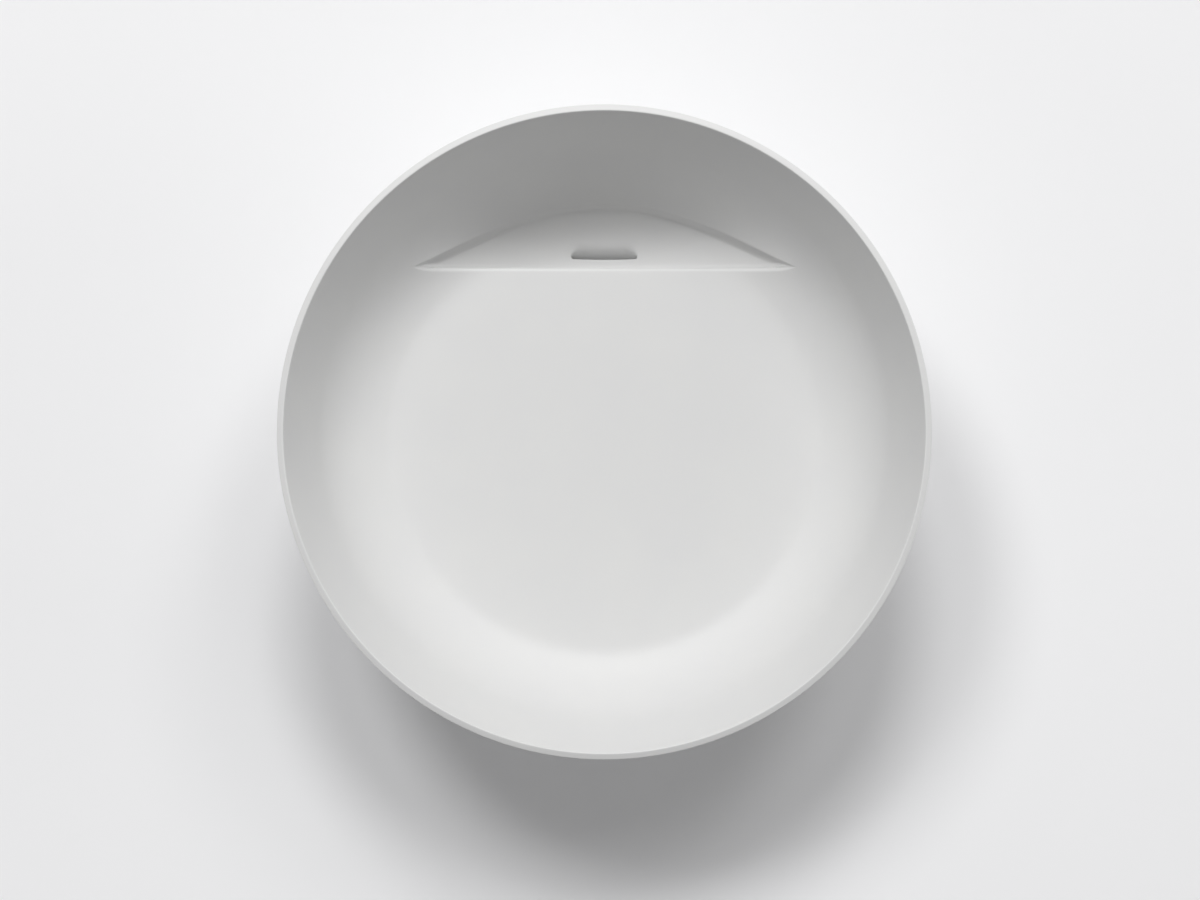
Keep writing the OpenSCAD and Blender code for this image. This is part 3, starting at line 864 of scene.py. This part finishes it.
brass, tree, shader, place = start_material("brass_turned")
stretch = (per_metre(GROOVE_LONG_MM), per_metre(GROOVE_LONG_MM), per_metre(GROOVE_MM))
level = add_node(tree, "ShaderNodeMapping", values={"Scale": stretch}, links={"Vector": place})
grooves = add_node(tree, "ShaderNodeTexNoise", values={"Scale": 1.0, "Detail": 3.0},
                   links={"Vector": level.outputs["Vector"]})
handled = add_node(tree, "ShaderNodeTexNoise", values={"Scale": per_metre(HANDLED_MM), "Detail": 4.0},
                   links={"Vector": place})
gold = add_node(tree, "ShaderNodeMix", {"data_type": "RGBA"},
                {"A": linear(BRASS_BRIGHT), "B": linear(BRASS_DULL)},
                {"Factor": handled.outputs["Fac"]})
satin = add_node(tree, "ShaderNodeMapRange", values={"To Min": 0.22, "To Max": 0.45},
                 links={"Value": handled.outputs["Fac"]})
cut = add_node(tree, "ShaderNodeBump", values={"Strength": 0.25, "Distance": 0.00005},
               links={"Height": grooves.outputs["Fac"]})
tree.links.new(gold.outputs["Result"], shader.inputs["Base Color"])
tree.links.new(satin.outputs["Result"], shader.inputs["Roughness"])
tree.links.new(cut.outputs["Normal"], shader.inputs["Normal"])
shader.inputs["Metallic"].default_value = 1.0
finish_in(brass, "outlet_ring", "cup_inserts", "fixing_inserts")

# %% [markdown]
# ### Moulded polypropylene
#
# The cup is moulded from grey polypropylene in a tool whose walls were spark-eroded, which prints a
# fine even grain on it. Where the melt flowed there are faint lighter swirls. The grain is 0.2 mm on
# the real part and drawn at 0.6 mm.

# %% Polypropylene with a spark-eroded grain
CUP_GREY, CUP_GREY_LIGHT = "#93979A", "#9FA3A6"
SPARK_MM, FLOW_MM = 0.6, 25.0

polypropylene, tree, shader, place = start_material("polypropylene_spark_grain")
flow = add_node(tree, "ShaderNodeTexNoise",
                values={"Scale": per_metre(FLOW_MM), "Detail": 2.0, "Distortion": 1.5},
                links={"Vector": place})
sparks = add_node(tree, "ShaderNodeTexNoise", values={"Scale": per_metre(SPARK_MM), "Detail": 2.0},
                  links={"Vector": place})
grey = add_node(tree, "ShaderNodeMix", {"data_type": "RGBA"},
                {"A": linear(CUP_GREY), "B": linear(CUP_GREY_LIGHT)},
                {"Factor": flow.outputs["Fac"]})
sheen = add_node(tree, "ShaderNodeMapRange", values={"To Min": 0.38, "To Max": 0.55},
                 links={"Value": sparks.outputs["Fac"]})
grain = add_node(tree, "ShaderNodeBump", values={"Strength": 0.2, "Distance": 0.00006},
                 links={"Height": sparks.outputs["Fac"]})
tree.links.new(grey.outputs["Result"], shader.inputs["Base Color"])
tree.links.new(sheen.outputs["Result"], shader.inputs["Roughness"])
tree.links.new(grain.outputs["Normal"], shader.inputs["Normal"])
finish_in(polypropylene, "waste_cup")

# %% [markdown]
# ### Stainless steel
#
# Washers are punched from rolled stainless sheet and keep its straight rolling lines, which are drawn
# 25 times as long as they are wide. The screws are formed cold from wire and tumbled, which leaves
# them evenly satin with small dents. Both are the same steel, so one colour serves, with a different
# pattern for each.

# %% Rolled sheet for the washers, tumbled wire for the screws
STEEL, STEEL_DARK = "#C6C6C3", "#ABABA9"
ROLLING_MM, DENT_MM = 0.4, 1.2

finishes = (("stainless_sheet_rolled", (0.04, 1.0, 1.0), ROLLING_MM, "cup_washers"),
            ("stainless_wire_tumbled", (1.0, 1.0, 1.0), DENT_MM, "cup_screws"))
for name, stretch, size_mm, node_name in finishes:
    steel, tree, shader, place = start_material(name)
    drawn = add_node(tree, "ShaderNodeMapping", values={"Scale": stretch}, links={"Vector": place})
    marks = add_node(tree, "ShaderNodeTexNoise", values={"Scale": per_metre(size_mm), "Detail": 3.0},
                     links={"Vector": drawn.outputs["Vector"]})
    tint = add_node(tree, "ShaderNodeMix", {"data_type": "RGBA"},
                    {"A": linear(STEEL), "B": linear(STEEL_DARK)},
                    {"Factor": marks.outputs["Fac"]})
    satin = add_node(tree, "ShaderNodeMapRange", values={"To Min": 0.24, "To Max": 0.42},
                     links={"Value": marks.outputs["Fac"]})
    worn = add_node(tree, "ShaderNodeBump", values={"Strength": 0.2, "Distance": 0.00004},
                    links={"Height": marks.outputs["Fac"]})
    tree.links.new(tint.outputs["Result"], shader.inputs["Base Color"])
    tree.links.new(satin.outputs["Result"], shader.inputs["Roughness"])
    tree.links.new(worn.outputs["Normal"], shader.inputs["Normal"])
    shader.inputs["Metallic"].default_value = 1.0
    finish_in(steel, node_name)

# %% [markdown]
# ## The table and the light
#
# The basin stands on a white laminate top, lit from behind by a wide bank of soft lamps, half-way up
# and a little to the left. The rim's shadow therefore falls forwards, the wall behind the lip stays in
# shade and the front wall is the brightest. One lamp would give the same direction, but a bank of six
# makes the wide, even shadow edges of a daylight studio. The bank stands 7.5 m away, so the table is
# about as bright at its corners as in the middle. A weak lamp on each side stands low, because low
# light lifts the steep walls and hardly reaches the table, and a plain white world fills the shadows.
# Where a camera ray misses everything, the world is shown as white, and it lights the object only at
# its low level. The laminate is printed paper under clear resin: its white varies by a hair over a
# hand's width, and its fine texture makes it unevenly matt.

# %% White worktop
WORKTOP_WHITE, WORKTOP_WHITE_DEEP = "#F3F3F4", "#F2F2F3"
WORKTOP_SIZE, PAPER_MM, TEXTURE_MM = 8.0, 60.0, 3.0

bpy.ops.mesh.primitive_plane_add(size=WORKTOP_SIZE, location=(0.0, 0.0, 0.0))
worktop = bpy.context.object
worktop.name = "worktop"
laminate, tree, shader, place = start_material("white_laminate_matt")
paper = add_node(tree, "ShaderNodeTexNoise", values={"Scale": per_metre(PAPER_MM), "Detail": 3.0},
                 links={"Vector": place})
white = add_node(tree, "ShaderNodeMix", {"data_type": "RGBA"},
                 {"A": linear(WORKTOP_WHITE_DEEP), "B": linear(WORKTOP_WHITE)},
                 {"Factor": paper.outputs["Fac"]})
texture = add_node(tree, "ShaderNodeTexNoise", values={"Scale": per_metre(TEXTURE_MM), "Detail": 3.0},
                   links={"Vector": place})
dull = add_node(tree, "ShaderNodeMapRange", values={"To Min": 0.75, "To Max": 0.9},
                links={"Value": texture.outputs["Fac"]})
tree.links.new(white.outputs["Result"], shader.inputs["Base Color"])
tree.links.new(dull.outputs["Result"], shader.inputs["Roughness"])
worktop.data.materials.append(laminate)
print("worktop staged")


# %% Lamps
LAMP_DISTANCE, AIM_HEIGHT = 7.5, 0.1
BANK_SIZE, FILL_SIZE = 2.0, 3.75
LAMPS = (("behind_low", 90.0, 44.0, BANK_SIZE, 24.0),
         ("behind_middle", 90.0, 52.0, BANK_SIZE, 174.0),
         ("behind_left", 120.0, 52.0, BANK_SIZE, 154.0),
         ("behind_left_high", 120.0, 60.0, BANK_SIZE, 27.0),
         ("behind_right_low", 60.0, 44.0, BANK_SIZE, 60.0),
         ("behind_right_high", 60.0, 60.0, BANK_SIZE, 42.0),
         ("low_fill_right", 0.0, 20.0, FILL_SIZE, 48.0),
         ("low_fill_left", 210.0, 25.0, FILL_SIZE, 20.0))


def add_lamp(name, azimuth, elevation, size, power):
    """A round area lamp on a sphere about the basin's middle, which it faces."""
    data = bpy.data.lights.new(name, "AREA")
    data.shape = "DISK"
    data.size = size
    data.energy = power
    lamp = bpy.data.objects.new(name, data)
    az, el = math.radians(azimuth), math.radians(elevation)
    aim = Vector((0.0, 0.0, AIM_HEIGHT))
    way = Vector((math.cos(az) * math.cos(el), math.sin(az) * math.cos(el), math.sin(el)))
    lamp.location = aim + way * LAMP_DISTANCE
    lamp.rotation_euler = (-way).to_track_quat("-Z", "Y").to_euler()
    bpy.context.scene.collection.objects.link(lamp)


for name, azimuth, elevation, size, power in LAMPS:
    add_lamp(name, azimuth, elevation, size, power)

# %% World
AMBIENT = 0.22

world = bpy.data.worlds.new("studio")
world.use_nodes = True
bpy.context.scene.world = world
tree = world.node_tree
background = tree.nodes["Background"]
rays = add_node(tree, "ShaderNodeLightPath")
seen = add_node(tree, "ShaderNodeMath", {"operation": "MAXIMUM"},
                links={0: rays.outputs["Is Camera Ray"], 1: rays.outputs["Is Glossy Ray"]})
seen = add_node(tree, "ShaderNodeMath", {"operation": "MAXIMUM"},
                links={0: seen.outputs["Value"], 1: rays.outputs["Is Transmission Ray"]})
level = add_node(tree, "ShaderNodeMapRange", values={"To Min": AMBIENT, "To Max": 1.0},
                 links={"Value": seen.outputs["Value"]})
background.inputs["Color"].default_value = (1.0, 1.0, 1.0, 1.0)
tree.links.new(level.outputs["Result"], background.inputs["Strength"])
bpy.context.scene.view_settings.view_transform = "Standard"
print("ambient light %.2f" % AMBIENT)
